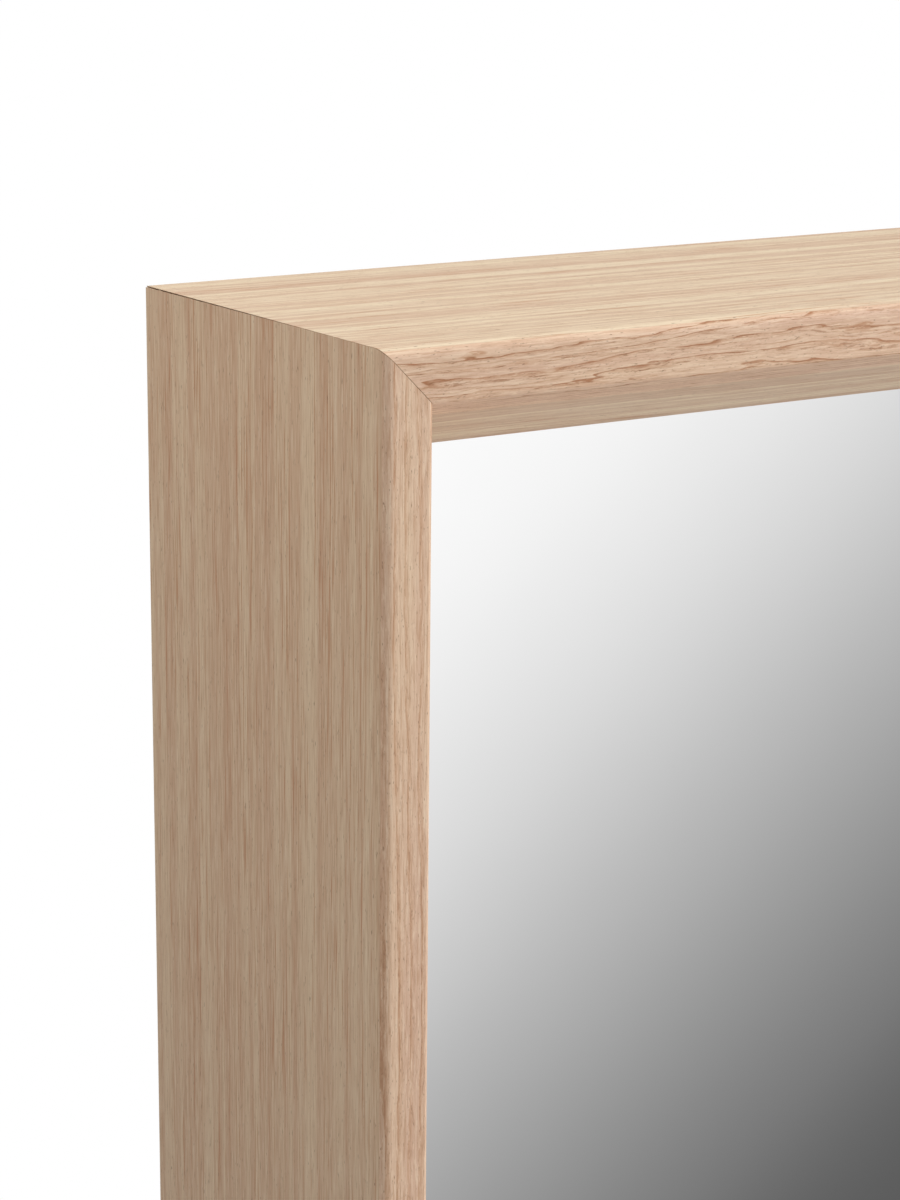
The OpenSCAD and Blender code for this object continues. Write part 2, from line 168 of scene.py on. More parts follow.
def mitred(name, outline, length, gap=None):
    """A frame side: outline (u, v) along z, cut to 45 degrees at both ends, its mitre edges just broken.
    gap(v, end) says how far the outer edge of an end stands back from the mitre."""
    bm = bmesh.new()
    edge = inset(outline, MITRE_CHAMFER)
    rings = []
    for end, points, back in ((-1, edge, 0), (-1, outline, MITRE_CHAMFER), (0, outline, 0),
                              (1, outline, MITRE_CHAMFER), (1, edge, 0)):
        ring = []
        for u, v in points:
            open_by = gap(v, end) * max(0, 1 - u / FRONT_W) if gap and end else 0
            ring.append(bm.verts.new((u, v, end * (length / 2 - u - back - open_by))))
        rings.append(ring)
    bridge(bm, rings)
    return make(name, bm)


def extruded(name, outline, depth, bevel=0.0, keep=lambda middle: True):
    """An outline in (x, y), extruded along z about its middle; keep() says which rim edges are rounded."""
    bm = bmesh.new()
    rings = [[bm.verts.new((x, y, z)) for x, y in outline] for z in (-depth / 2, depth / 2)]
    bridge(bm, rings)
    if bevel:
        rim = []
        for e in bm.edges:
            a, b = (v.co for v in e.verts)
            if abs(a.z - b.z) < LEVEL and keep((a + b) / 2):
                rim.append(e)
        bmesh.ops.bevel(bm, geom=rim, offset=bevel, segments=4, profile=0.5, affect="EDGES")
    return make(name, bm)


def lathe(name, outline, steps=96):
    """An outline (radius, height) turned about z; a ring's closes on itself, a solid's on the axis."""
    bm = bmesh.new()
    columns = []
    for i in range(steps):
        turn = Matrix.Rotation(2 * math.pi * i / steps, 3, "Z")
        columns.append([bm.verts.new(turn @ Vector((r, 0, h))) for r, h in outline])
    ring = outline[0][0] > 0
    for i in range(steps):
        here, there = columns[i - 1], columns[i]
        for j in range(0 if ring else 1, len(outline)):
            bm.faces.new((here[j - 1], here[j], there[j], there[j - 1]))
    bmesh.ops.remove_doubles(bm, verts=bm.verts, dist=SAME_POINT)
    return make(name, bm)


def place(obj, x_to, y_to, z_to, at):
    """Moves the mesh so that its x, y and z run along the given directions from the point at."""
    axes = Matrix((x_to, y_to, z_to)).transposed().to_4x4()
    obj.data.transform(Matrix.Translation(at) @ axes)
    return obj


def cut(obj, *cutters):
    """Takes the cutters out of obj and deletes them."""
    for cutter in cutters:
        mod = obj.modifiers.new("cut", "BOOLEAN")
        mod.operation, mod.solver, mod.object = "DIFFERENCE", "EXACT", cutter
    bpy.context.view_layer.update()
    mesh = bpy.data.meshes.new_from_object(obj.evaluated_get(bpy.context.evaluated_depsgraph_get()))
    obj.modifiers.clear()
    old, obj.data = obj.data, mesh
    bpy.data.meshes.remove(old)
    mesh.name = obj.name
    for cutter in cutters:
        bpy.data.objects.remove(cutter)
    return obj


def drill(start, along, *steps):
    """A cutter for a stepped round hole: each step is a radius and the depth that it ends at."""
    chamfer = 0.25 * MM
    entry = steps[0][0]
    outline = [(0, -MM), (entry + chamfer, -MM), (entry + chamfer, 0), (entry, chamfer)]
    for (r, end), deeper in zip(steps, steps[1:] + ((0, 0),)):
        outline += [(r, end), (deeper[0], end)]
    z_to = Vector(along).normalized()
    x_to = z_to.orthogonal().normalized()
    return place(lathe("drill", outline, 64), x_to, z_to.cross(x_to), z_to, Vector(start))


def smooth(obj):
    """Smooth shading across the roundings, with flat faces left flat."""
    obj.data.shade_smooth()
    obj.data.set_sharp_from_angle(angle=math.radians(SHARP_ANGLE))
    mod = obj.modifiers.new("flat_faces", "WEIGHTED_NORMAL")
    mod.keep_sharp = True
    mod.weight = 100


def grain(obj, seed, order="xyz", mitre=None, tone=0.0):
    """Stores the wood's own coordinates in millimetres, the last one along the grain and moved by a seed so
    that no two pieces match, how reddish the piece is, and a mitred side's distance from the nearer mitre."""
    mesh = obj.data
    columns = ["xyz".index(c) for c in order]
    shift = [seed * k for k in SEED_STEP]
    mesh.attributes.new("grain", "FLOAT_VECTOR", "POINT")
    mesh.attributes.new("mitre", "FLOAT", "POINT")
    mesh.attributes.new("tone", "FLOAT", "POINT")
    for i, v in enumerate(mesh.vertices):
        mesh.attributes["grain"].data[i].vector = [v.co[c] / MM + s for c, s in zip(columns, shift)]
        mesh.attributes["mitre"].data[i].value = mitre(v.co) / MM if mitre else FAR_FROM_MITRE
        mesh.attributes["tone"].data[i].value = tone


def islands(node):
    """The box of each separate solid of a CAD node."""
    bm = bmesh.new()
    bm.from_mesh(frame["nodes"][node].data)
    bmesh.ops.remove_doubles(bm, verts=bm.verts, dist=CLEAR)
    left, boxes = set(bm.verts), []
    while left:
        group, fresh = set(), [left.pop()]
        while fresh:
            v = fresh.pop()
            group.add(v)
            for e in v.link_edges:
                other = e.other_vert(v)
                if other in left:
                    left.discard(other)
                    fresh.append(other)
        boxes.append([Vector(f(v.co[i] for v in group) for i in range(3)) for f in (min, max)])
    bm.free()
    return sorted(boxes, key=lambda b: tuple(round(x, 4) for x in b[0]))


def joined(name, objs):
    """One object from several."""
    bm = bmesh.new()
    for o in objs:
        bm.from_mesh(o.data)
        bpy.data.objects.remove(o)
    return make(name, bm)


# ---- Materials ----

def srgb(r, g, b):
    """A colour given as 0 to 255 on a screen, as linear light."""
    return [c / 3294.6 if c <= 10 else ((c / 255 + 0.055) / 1.055) ** 2.4 for c in (r, g, b)] + [1]


class Nodes:
    """A node tree and the short steps that build it."""

    def __init__(self, tree):
        self.tree = tree

    def node(self, kind, *inputs, **settings):
        made = self.tree.nodes.new("ShaderNode" + kind)
        for key, value in settings.items():
            setattr(made, key, value)
        for socket, value in zip(made.inputs, inputs):
            self.put(socket, value)
        return made

    def put(self, socket, value):
        if isinstance(value, bpy.types.NodeSocket):
            self.tree.links.new(value, socket)
        elif value is not None:
            socket.default_value = value

    def math(self, operation, a, b=None):
        return self.node("Math", a, b, operation=operation).outputs[0]

    def ranged(self, a, low, high, at_low, at_high):
        """a from low to high as at_low to at_high, and no further."""
        return self.node("MapRange", a, low, high, at_low, at_high).outputs[0]

    def clamped(self, a, low, high):
        """a from low to high as 0 to 1, and no further; high may be below low."""
        return self.ranged(a, low, high, 0.0, 1.0)

    def stretched(self, vector, x, y, z):
        return self.node("VectorMath", vector, (x, y, z), operation="MULTIPLY").outputs[0]

    def noise(self, vector, detail=2.0, roughness=0.5, warp=0.0):
        made = self.node("TexNoise")
        self.put(made.inputs["Vector"], vector)
        settings = {"Scale": 1.0, "Detail": detail, "Roughness": roughness, "Distortion": warp}
        for key, value in settings.items():
            made.inputs[key].default_value = value
        return made.outputs[0]

    def mix(self, share, a, b):
        """From colour a to colour b by share."""
        made = self.node("Mix", data_type="RGBA")
        for socket, value in ((made.inputs[0], share), (made.inputs[6], a), (made.inputs[7], b)):
            self.put(socket, value)
        return made.outputs[2]

    def tinted(self, colour, share, strength, other):
        """The colour with some of another, by share times strength."""
        return self.mix(self.math("MULTIPLY", share, strength), colour, other)

    def streaks(self, vector, across, lengthwise, detail=2.0, roughness=0.5):
        """Noise drawn out along z: its two scales say how often it changes in a unit of the vector."""
        return self.noise(self.stretched(vector, across, across, lengthwise), detail, roughness)


class Shader(Nodes):
    """A node material, built up from its texture to its surface."""

    def __init__(self, name):
        self.material = bpy.data.materials.new(name)
        self.material.use_nodes = True
        super().__init__(self.material.node_tree)
        self.surface = self.tree.nodes["Principled BSDF"]

    def attribute(self, name, output):
        return self.node("Attribute", attribute_name=name).outputs[output]

    def position(self, scale):
        """Object coordinates times scale."""
        return self.stretched(self.node("TexCoord").outputs["Object"], scale, scale, scale)

    def bump(self, height, strength, distance):
        made = self.node("Bump")
        made.inputs["Strength"].default_value = strength
        made.inputs["Distance"].default_value = distance
        self.put(made.inputs["Height"], height)
        self.tree.links.new(made.outputs[0], self.surface.inputs["Normal"])

    def finish(self, **values):
        for key, value in values.items():
            self.put(self.surface.inputs[key.replace("_", " ").title().replace("Ior", "IOR")], value)
        return self.material


def glue_and_gap_shade_line(s, colour):
    """Darkens a wood colour along a mitre: the hair line of glue, and painted shade in the slit where the
    joint opens.
    """
    glue_and_gap_shade = s.clamped(s.attribute("mitre", "Fac"), 0.20, 0.08)
    # painted shade: this dark brown stands for the glue line and for the shade inside the mitre's slit
    return s.tinted(colour, glue_and_gap_shade, 0.8, srgb(128, 90, 58))


def veneer_stripes(s, p):
    """The veneer's broad beige and pinkish stripes and its fine ones, as a colour and the fine stripes."""
    wide = s.streaks(p, 0.15, 0.0012, 2.0, 0.6)
    stripe = s.streaks(p, 0.50, 0.0025, 3.0, 0.6)
    fine = s.streaks(p, 2.0, 0.008, 3.0, 0.7)
    band = s.math("ADD", s.math("MULTIPLY", wide, 0.45), s.math("MULTIPLY", stripe, 0.55))
    colour = s.mix(s.clamped(band, 0.44, 0.56), srgb(205, 176, 149), srgb(224, 205, 176))
    colour = s.tinted(colour, s.attribute("tone", "Fac"), 0.4, srgb(207, 167, 134))
    colour = s.tinted(colour, s.clamped(fine, 0.51, 0.66), 0.25, srgb(188, 148, 118))
    colour = s.tinted(colour, s.clamped(fine, 0.46, 0.32), 0.25, srgb(232, 213, 186))
    return colour, fine


def veneer_marks(s, p, colour):
    """Flecks, thin reddish lines and small pores over the stripes: the colour, and how deep the marks are."""
    fleck = s.streaks(p, 2.8, 0.12, 2.0, 0.6)
    colour = s.tinted(colour, s.clamped(fleck, 0.54, 0.68), 0.45, srgb(174, 138, 110))
    colour = s.tinted(colour, s.clamped(fleck, 0.46, 0.34), 0.4, srgb(234, 216, 190))
    dash = s.streaks(p, 1.8, 0.03, 2.0, 0.6)
    where = s.streaks(p, 0.3, 0.01)
    line_share = s.math("MULTIPLY", s.clamped(dash, 0.57, 0.63), s.clamped(where, 0.38, 0.50))
    colour = s.tinted(colour, line_share, 0.65, srgb(182, 126, 90))
    pore = s.clamped(s.streaks(p, 3.2, 0.5, 1.0), 0.68, 0.76)
    colour = s.tinted(colour, pore, 0.7, srgb(136, 108, 84))
    return colour, s.math("ADD", pore, line_share)


def quarter_ash(name, coordinates=None):
    """Quarter-cut ash: straight stripes that sway a little, with thin reddish lines and small dark pores."""
    s = Shader(name)
    p = coordinates(s) if coordinates else s.attribute("grain", "Vector")
    sway = s.streaks(p, 0.02, 0.004, 1.0)
    moved = s.node("VectorMath", p, s.stretched(sway, 5.0, 5.0, 0.0), operation="ADD").outputs[0]
    colour, fine = veneer_stripes(s, moved)
    colour, depth = veneer_marks(s, moved, colour)
    relief = s.math("SUBTRACT", s.math("MULTIPLY", fine, 0.4), s.math("MULTIPLY", depth, 0.5))
    s.bump(relief, 0.3, 0.15 * MM)
    gloss = s.ranged(fine, 0.3, 0.7, 0.5, 0.62)
    return s.finish(base_color=glue_and_gap_shade_line(s, colour), roughness=gloss, specular_ior_level=0.3)


def growth_rings(s, p, red):
    """How many growth rings across a point is. The rings wander, and less in a reddish piece."""
    swell = s.streaks(p, 0.06, 0.007)
    ripple = s.streaks(p, 0.35, 0.05, 2.0, 0.55)
    x, y, _ = s.node("SeparateXYZ", p).outputs
    across = s.math("ADD", s.math("MULTIPLY", x, 0.36), s.math("MULTIPLY", y, 0.24))
    waves = s.math("ADD", s.math("MULTIPLY", swell, 6.0), s.math("MULTIPLY", ripple, 1.5))
    return s.math("ADD", across, s.math("MULTIPLY", waves, s.ranged(red, 0.0, 1.0, 1.0, 0.4)))


def ring_lines(s, p, rings, year, strong, contrast):
    """The wood's colour with its growth rings: a soft early band, a drawn edge and hair lines between."""
    colour = s.mix(s.clamped(s.streaks(p, 0.12, 0.006), 0.35, 0.65), srgb(216, 180, 154), srgb(225, 195, 165))
    colour = s.tinted(colour, s.clamped(year, 0.40, 0.02), 0.5 * contrast, srgb(198, 150, 113))
    fade = s.streaks(p, 0.5, 0.03, 2.0, 0.6)
    edge = s.math("MULTIPLY", s.clamped(year, 0.17, 0.06), s.clamped(year, 0.0, 0.02))
    drawn = s.math("MULTIPLY", s.math("MULTIPLY", edge, s.clamped(fade, 0.38, 0.56)), 0.95)
    colour = s.tinted(colour, drawn, strong, srgb(168, 112, 74))
    hair = s.clamped(s.math("PINGPONG", s.math("MULTIPLY", rings, 3.0), 1.0), 0.16, 0.04)
    thin = s.math("MULTIPLY", s.math("MULTIPLY", hair, s.clamped(fade, 0.60, 0.42)), 0.6)
    return s.tinted(colour, thin, strong, srgb(182, 130, 90))


def open_pores(s, p, rings, year, strong, contrast, colour):
    """Coarse pores in dashes that lean with the rings, and dark specks: the colour and the dashes."""
    lean = s.stretched(s.math("MULTIPLY", rings, 1.2), 1.0, 1.0, 0.0)
    slanted = s.node("VectorMath", p, lean, operation="ADD").outputs[0]
    dash = s.streaks(slanted, 1.5, 0.22, 3.0, 0.75)
    pore = s.math("MULTIPLY", s.clamped(dash, 0.55, 0.64), s.clamped(year, 0.9, 0.2))
    colour = s.tinted(colour, s.math("MULTIPLY", pore, 0.75), strong, srgb(160, 112, 76))
    colour = s.tinted(colour, s.clamped(dash, 0.45, 0.35), 0.5 * contrast, srgb(238, 212, 184))
    speck = s.clamped(s.streaks(slanted, 3.0, 0.8, 1.0), 0.67, 0.75)
    return s.tinted(colour, speck, 0.6, srgb(128, 92, 64)), pore


def flat_ash(name, contrast=1.0):
    """Flat-sawn ash: long wavy growth lines close together, with coarse open pores in dashes beside them.
    The lines run straighter and fainter in a reddish piece."""
    s = Shader(name)
    p = s.attribute("grain", "Vector")
    red = s.attribute("tone", "Fac")
    strong = s.ranged(red, 0.0, 1.0, contrast, 0.45 * contrast)
    rings = growth_rings(s, p, red)
    year = s.math("FRACT", rings)
    colour = ring_lines(s, p, rings, year, strong, contrast)
    fibre = s.streaks(p, 2.0, 0.08, 3.0, 0.7)
    colour = s.tinted(colour, s.clamped(fibre, 0.50, 0.65), 0.5 * contrast, srgb(186, 142, 108))
    colour = s.tinted(colour, s.clamped(fibre, 0.46, 0.33), 0.55 * contrast, srgb(240, 217, 189))
    colour, pore = open_pores(s, p, rings, year, strong, contrast, colour)
    relief = s.math("SUBTRACT", s.math("MULTIPLY", fibre, 0.3), s.math("MULTIPLY", pore, 0.9))
    s.bump(relief, 0.35, 0.2 * MM)
    gloss = s.ranged(pore, 0.0, 1.0, 0.5, 0.7)
    return s.finish(base_color=glue_and_gap_shade_line(s, colour), roughness=gloss, specular_ior_level=0.3)


def silvered_glass():
    """A clean mirror, with the faintest breath of dust."""
    s = Shader("mirror_glass")
    haze = s.noise(s.position(9.0), 4.0, 0.6)
    s.surface.inputs["Metallic"].default_value = 1.0
    tint = s.mix(s.clamped(haze, 0.3, 0.7), srgb(255, 255, 255), srgb(252, 252, 252))
    return s.finish(base_color=tint, roughness=s.ranged(haze, 0.5, 0.8, 0.0, 0.012))


def zinc_steel():
    """Bright zinc plate: faint spangle and fine rolling lines."""
    s = Shader("zinc_steel")
    spangle = s.noise(s.position(420.0), 2.0)
    lines = s.streaks(s.position(1 / MM), 3.0, 0.15)
    s.surface.inputs["Metallic"].default_value = 1.0
    colour = s.mix(s.clamped(spangle, 0.35, 0.65), srgb(196, 198, 202), srgb(214, 215, 216))
    s.bump(lines, 0.15, 0.05 * MM)
    return s.finish(base_color=colour, roughness=s.ranged(spangle, 0.3, 0.7, 0.28, 0.4))


def brass():
    """Turned brass with fine tool rings and a little tarnish."""
    s = Shader("brass")
    tarnish = s.noise(s.position(160.0), 3.0)
    rings = s.noise(s.stretched(s.position(1 / MM), 6.0, 0.4, 0.4), 2.0)
    s.surface.inputs["Metallic"].default_value = 1.0
    colour = s.mix(s.clamped(tarnish, 0.4, 0.7), srgb(214, 178, 104), srgb(182, 146, 84))
    s.bump(rings, 0.2, 0.05 * MM)
    return s.finish(base_color=colour, roughness=s.ranged(tarnish, 0.3, 0.7, 0.25, 0.42))


def leather():
    """Brown sole leather: pebbled face with darker creases."""
    s = Shader("leather")
    cells = s.node("TexVoronoi", s.position(1 / MM), feature="DISTANCE_TO_EDGE")
    cells.inputs["Scale"].default_value = 1.1
    stain = s.noise(s.position(220.0), 3.0)
    colour = s.mix(s.clamped(stain, 0.3, 0.7), srgb(118, 80, 52), srgb(142, 98, 64))
    colour = s.mix(s.clamped(cells.outputs[0], 0.10, 0.0), colour, srgb(84, 56, 38))
    s.bump(cells.outputs[0], 0.5, 0.2 * MM)
    return s.finish(base_color=colour, roughness=s.ranged(stain, 0.3, 0.7, 0.55, 0.7))


SCREEN_MESH = 4.2                                # wires of the screen in hardboard, in radians a millimetre


def hardboard():
    """The rough side of hardboard: pressed fibres under the print of a wire screen."""
    s = Shader("hardboard")
    p = s.position(1 / MM)
    fibres = s.noise(s.stretched(p, 0.9, 0.9, 0.9), 5.0, 0.7, 1.5)
    mottle = s.streaks(p, 0.08, 0.08, 3.0)
    colour = s.mix(s.clamped(mottle, 0.3, 0.7), srgb(134, 106, 80), srgb(144, 115, 88))
    colour = s.tinted(colour, s.clamped(fibres, 0.5, 0.7), 0.6, srgb(100, 74, 52))
    x, _, z = s.node("SeparateXYZ", p).outputs
    warp, weft = (s.math("SINE", s.math("MULTIPLY", at, SCREEN_MESH)) for at in (x, z))
    weave = s.math("MULTIPLY", warp, weft)
    s.bump(s.math("ADD", s.math("MULTIPLY", weave, 0.35), fibres), 0.4, 0.25 * MM)
    return s.finish(base_color=colour, roughness=0.85, specular_ior_level=0.2)


def foam():
    """Black closed-cell foam."""
    s = Shader("foam_tape")
    cells = s.node("TexVoronoi", s.position(1 / MM))
    cells.inputs["Scale"].default_value = 3.0
    s.bump(cells.outputs[0], 0.6, 0.1 * MM)
    colour = s.mix(s.clamped(cells.outputs[0], 0.2, 0.8), srgb(22, 22, 23), srgb(44, 44, 45))
    return s.finish(base_color=colour, roughness=0.9)


def nylon():
    """Matt brown nylon with a fine moulded stipple."""
    s = Shader("nylon")
    stipple = s.noise(s.position(2600.0), 2.0)
    cloud = s.noise(s.position(120.0), 2.0)
    s.bump(stipple, 0.3, 0.08 * MM)
    colour = s.mix(s.clamped(cloud, 0.3, 0.7), srgb(120, 106, 92), srgb(134, 118, 102))
    return s.finish(base_color=colour, roughness=s.ranged(stipple, 0.3, 0.7, 0.45, 0.6))


VENEER = quarter_ash("ash_veneer")
LIPPING = flat_ash("ash_lipping")
SOLID = flat_ash("ash_solid", contrast=0.7)
HIDDEN_ASH = quarter_ash("ash_hidden", lambda s: s.position(1 / MM))
GLASS, STEEL, BRASS, LEATHER = silvered_glass(), zinc_steel(), brass(), leather()
HARDBOARD, FOAM, NYLON = hardboard(), foam(), nylon()


def piece(obj, body, slot, material, *stands_for):
    """Finishes a new piece: its material, the body it rides on and the CAD nodes it stands for."""
    obj.data.materials.clear()
    obj.data.materials.append(material)
    smooth(obj)
    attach(obj, body)
    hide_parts(*stands_for)


# ---- Mirror frame ----

SIDES = {
    "left": ((1, 0, 0), (0, 1, 0), (0, 0, 1), (LEFT, FRONT, MID_Z), FRAME_H),
    "top": ((0, 0, -1), (0, 1, 0), (1, 0, 0), (0, FRONT, TOP), FRAME_W),
    "right": ((-1, 0, 0), (0, 1, 0), (0, 0, -1), (-LEFT, FRONT, MID_Z), FRAME_H),
    "bottom": ((0, 0, 1), (0, 1, 0), (-1, 0, 0), (0, FRONT, BOTTOM), FRAME_W),
}


def board_outline():
    """The veneered board, its outer veneer running on over the lipping into the front rounding."""
    return (
        [(FRONT_W, LIP_D)]
        + arc(FRONT_W - BACK_R, FRAME_D - BACK_R, BACK_R, 0, 90, 5)
        + arc(BACK_R, FRAME_D - BACK_R, BACK_R, 90, 180, 5)[:-1]
        + line((0, FRAME_D - BACK_R), (0, EDGE_R), 110)
        + arc(EDGE_R, EDGE_R, EDGE_R, 180, VENEER_END, 6)
        + [(VENEER_T, LIP_D)]
    )


def lipping_outline():
    """The solid front edge, rounded outside and just broken inside."""
    slant = math.radians(REVEAL_ANGLE)
    inner_u = FRONT_W + INNER_R * REVEAL_SLOPE - INNER_R / math.cos(slant)
    return (
        arc(EDGE_R, EDGE_R, EDGE_R, VENEER_END, 270, 10)
        + arc(inner_u, INNER_R, INNER_R, 270, 360 - REVEAL_ANGLE, 8)
        + [(FRONT_W + LIP_D * REVEAL_SLOPE, LIP_D), (VENEER_T, LIP_D)]
    )


def reveal_outline():
    """The slanted filling behind the lipping."""
    return rounded([
        (FRONT_W, LIP_D, 0), (FRONT_W + LIP_D * REVEAL_SLOPE, LIP_D, 0),
        (FRONT_W + REVEAL_RISE, REVEAL_D, 0.4 * MM), (FRONT_W, REVEAL_D, 0),
    ], 4)


def bead_outline():
    """The retaining bead behind the back panel, chamfered towards the middle."""
    back, front = bead_hi.y - FRONT, bead_lo.y - FRONT
    width = bead_hi.x - board_hi.x
    chamfer = 3 * MM
    soft = 0.5 * MM
    return rounded([
        (FRONT_W, front, 0), (FRONT_W + width, front, 0), (FRONT_W + width, back - chamfer, soft),
        (FRONT_W + width - chamfer, back, soft), (FRONT_W, back, 0),
    ], 3)


MITRE_OPEN = 0.38 * MM                           # how wide a mitre has opened at the back
MITRE_CLOSED = 0.35                              # the share of the depth, from the front, that is closed


def open_mitre(seed):
    """A mitre that has opened a little at its outer edge, most at the back of the frame."""
    def gap(v, end):
        share = max(0.0, (v / FRAME_D - MITRE_CLOSED) / (1 - MITRE_CLOSED))
        ragged = 0.65 + 0.8 * noise.noise(Vector((v / MM * 0.55, seed * 7.0, end * 3.0)))
        return max(0.0, MITRE_OPEN * share * ragged)
    return gap


def mitre_distance(length):
    """How far a point is from the nearer mitre, counted a little farther where the joint is tight, so the
    painted shade of the mitre line is darker where the joint opens.
    """
    def distance(co):
        tight = 1 - min(1.0, max(0.0, (co.y / FRAME_D - 0.15) / 0.45))
        ragged = noise.noise(Vector((co.y / MM * 0.9, length, 0)))
        slack = (0.09 * tight if co.y > EDGE_R else 0.05) + 0.05 * ragged
        return length / 2 - abs(co.z) - co.x + max(0.0, slack) * MM
    return distance


def rounded_box(name, half_x, half_y, r, low_z, high_z):
    """An upright block with a rounded rectangle for its outline."""
    outline = rounded([(x, y, r) for x, y in rectangle(half_x, half_y)])
    obj = extruded(name, outline, high_z - low_z)
    obj.data.transform(Matrix.Translation((0, 0, (high_z + low_z) / 2)))
    return obj


def pivot_pocket():
    """The pocket for a side board's pivot plate, in the left board's own coordinates."""
    lo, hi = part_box("left_pivot_plate")
    depth = hi.x - LEFT
    pocket = rounded_box("pocket", (hi.z - lo.z) / 2, (hi.y - lo.y) / 2, 6 * MM, -MM, depth)
    return place(pocket, (0, 0, -1), (0, 1, 0), (1, 0, 0), (0, -FRONT, 0))


for number, (side, (x_to, y_to, z_to, at, length)) in enumerate(SIDES.items()):
    parts = (
        ("board", board_outline(), VENEER, "ash_veneer", open_mitre(number + 1)),
        ("lipping", lipping_outline(), LIPPING, "ash_solid", None),
        ("reveal", reveal_outline(), VENEER, "ash_veneer", None),
        ("bead", bead_outline(), SOLID, "ash", None),
    )
    for layer, (kind, outline, material, slot, gap) in enumerate(parts):
        name = f"{side}_{kind}"
        obj = mitred(f"{name}_wood", outline, length, gap)
        if kind == "board" and side in ("left", "right"):
            pocket = pivot_pocket()
            rise = (PIVOT.z - MID_Z) * z_to[2]
            pocket.data.transform(Matrix.Translation((0, 0, rise)))
            cut(obj, pocket)
        grain(obj, number * 4 + layer, mitre=mitre_distance(length), tone=1 - number % 2)
        place(obj, x_to, y_to, z_to, at)
        piece(obj, "mirror", slot, material, name)

# ---- Screws ----

SHANK_R = 1.75 * MM
THREAD = 1.4 * MM
ROOT = 0.78                                      # the thread's root and the blunt tip, as shares of the shank
TIP, TIP_L = 0.8, 3 * MM
RECESS_REACH, RECESS_HALF_W = 0.62, 0.45 * MM    # a wing of the cross, as a share of the head and in metres
RECESS_TAPER, RECESS_DEPTH = 0.45, 0.8


def screw(name, head_r, head_h, length, countersunk):
    """A screw with the top of its head at z = 0: threaded shank, and a cross recess in the head."""
    soft = 0.3 * MM
    if countersunk:
        head = [(0, 0), (head_r - soft, 0), (head_r, -soft), (SHANK_R, -head_h)]
    else:
        head = [(0, 0)] + arc(head_r - MM, -MM, MM, 90, 0, 6) + [(head_r, -head_h), (SHANK_R, -head_h)]
    shank = []
    z = -head_h - MM
    while z > TIP_L - length:
        shank += [(SHANK_R, z), (SHANK_R * ROOT, z - THREAD / 2)]
        z -= THREAD
    obj = lathe(name, head + shank + [(SHANK_R * TIP, z), (0, -length)], 32)
    reach = head_r * RECESS_REACH
    low_z = -head_h * RECESS_DEPTH
    cutters = []
    for half_x, half_y in ((reach, RECESS_HALF_W), (RECESS_HALF_W, reach)):
        bm = bmesh.new()
        top = [bm.verts.new((x, y, MM)) for x, y in rectangle(half_x, half_y)]
        low = [bm.verts.new((v.co.x * RECESS_TAPER, v.co.y * RECESS_TAPER, low_z)) for v in top]
        bridge(bm, [top, low])
        cutters.append(make("recess", bm))
    return cut(obj, *cutters)


def screw_set(node, head_h, countersunk, heads_inside):
    """Screws where the node has them, their heads towards the middle of the frame or away from it."""
    one, copies = None, []
    for lo, hi in islands(node):
        size, middle = hi - lo, (hi + lo) / 2
        axis = max(range(3), key=lambda i: size[i])
        head_r = min(size[i] for i in range(3) if i != axis) / 2
        if not one:
            one = screw(f"{node}_one", head_r, head_h, size[axis], countersunk)
        to_centre = (Vector((0, 0, MID_Z)) - middle)[axis] > 0
        sign = 1 if to_centre == heads_inside else -1
        z_to = Vector([sign if i == axis else 0 for i in range(3)])
        x_to = z_to.orthogonal().normalized()
        copy = bpy.data.objects.new("copy", one.data.copy())
        bpy.context.scene.collection.objects.link(copy)
        copies.append(place(copy, x_to, z_to.cross(x_to), z_to, middle + z_to * size[axis] / 2))
    bpy.data.objects.remove(one)
    piece(joined(f"{node}_steel", copies), "mirror", "zinc_steel", STEEL, node)


screw_set("bead_screws", 2.0 * MM, countersunk=True, heads_inside=True)
screw_set("pivot_plate_screws", 2.2 * MM, countersunk=True, heads_inside=False)
screw_set("brace_screws", 1.8 * MM, countersunk=False, heads_inside=True)

# ---- Stand ----

post_lo, post_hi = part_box("left_post")
foot_lo, foot_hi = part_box("left_foot")
rail_lo, rail_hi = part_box("stretcher")
POST_T, POST_D = post_hi.x - post_lo.x, post_hi.y - post_lo.y
POST_X = -(post_lo.x + post_hi.x) / 2
POST_IN, POST_OUT = -post_hi.x, -post_lo.x
FOOT_W, FOOT_L = foot_hi.x - foot_lo.x, foot_hi.y - foot_lo.y
FOOT_Z, FOOT_TOP = foot_lo.z, foot_hi.z
BOLT_Z = (rail_lo.z + rail_hi.z) / 2
BOLT_R = 3 * MM
RECESS_R = 6 * MM
BARREL_R = 5 * MM
FOOT_BOLT_Y = 13 * MM
FOOT_NUT_Z = FOOT_TOP + 40 * MM
RAIL_NUT_IN = 30 * MM                            # the stretcher's barrel nut, in from its end
DOWEL_R, DOWEL_IN, DOWEL_Z = 4 * MM, 15 * MM, 13 * MM
RAIL_NUT_HOLE, FOOT_NUT_HOLE = 8 * MM, 19 * MM   # how far the nut holes go past the middle, and in
ARCH_H = 7 * MM
SOFT_EDGE = 3 * MM
BUSH_FLANGE_R, BUSH_FLANGE_T, BUSH_R = 11 * MM, 1.5 * MM, 7.5 * MM
GLIDE_PIN_R, GLIDE_PIN_TIP = 2 * MM, 1.2 * MM


def rail_joint_drills(side):
    """The holes for the bolt and the dowels between a post and the stretcher."""
    inward = (-side, 0, 0)
    bolt_hole = ((RECESS_R, 7 * MM), (BOLT_R, POST_T + RAIL_NUT_IN + BARREL_R))
    cutters = [drill((side * POST_OUT, 0, BOLT_Z), inward, *bolt_hole)]
    for z in (-DOWEL_Z, DOWEL_Z):
        start = (side * (POST_IN + DOWEL_IN), 0, BOLT_Z + z)
        cutters.append(drill(start, inward, (DOWEL_R, 2 * DOWEL_IN)))
    return cutters


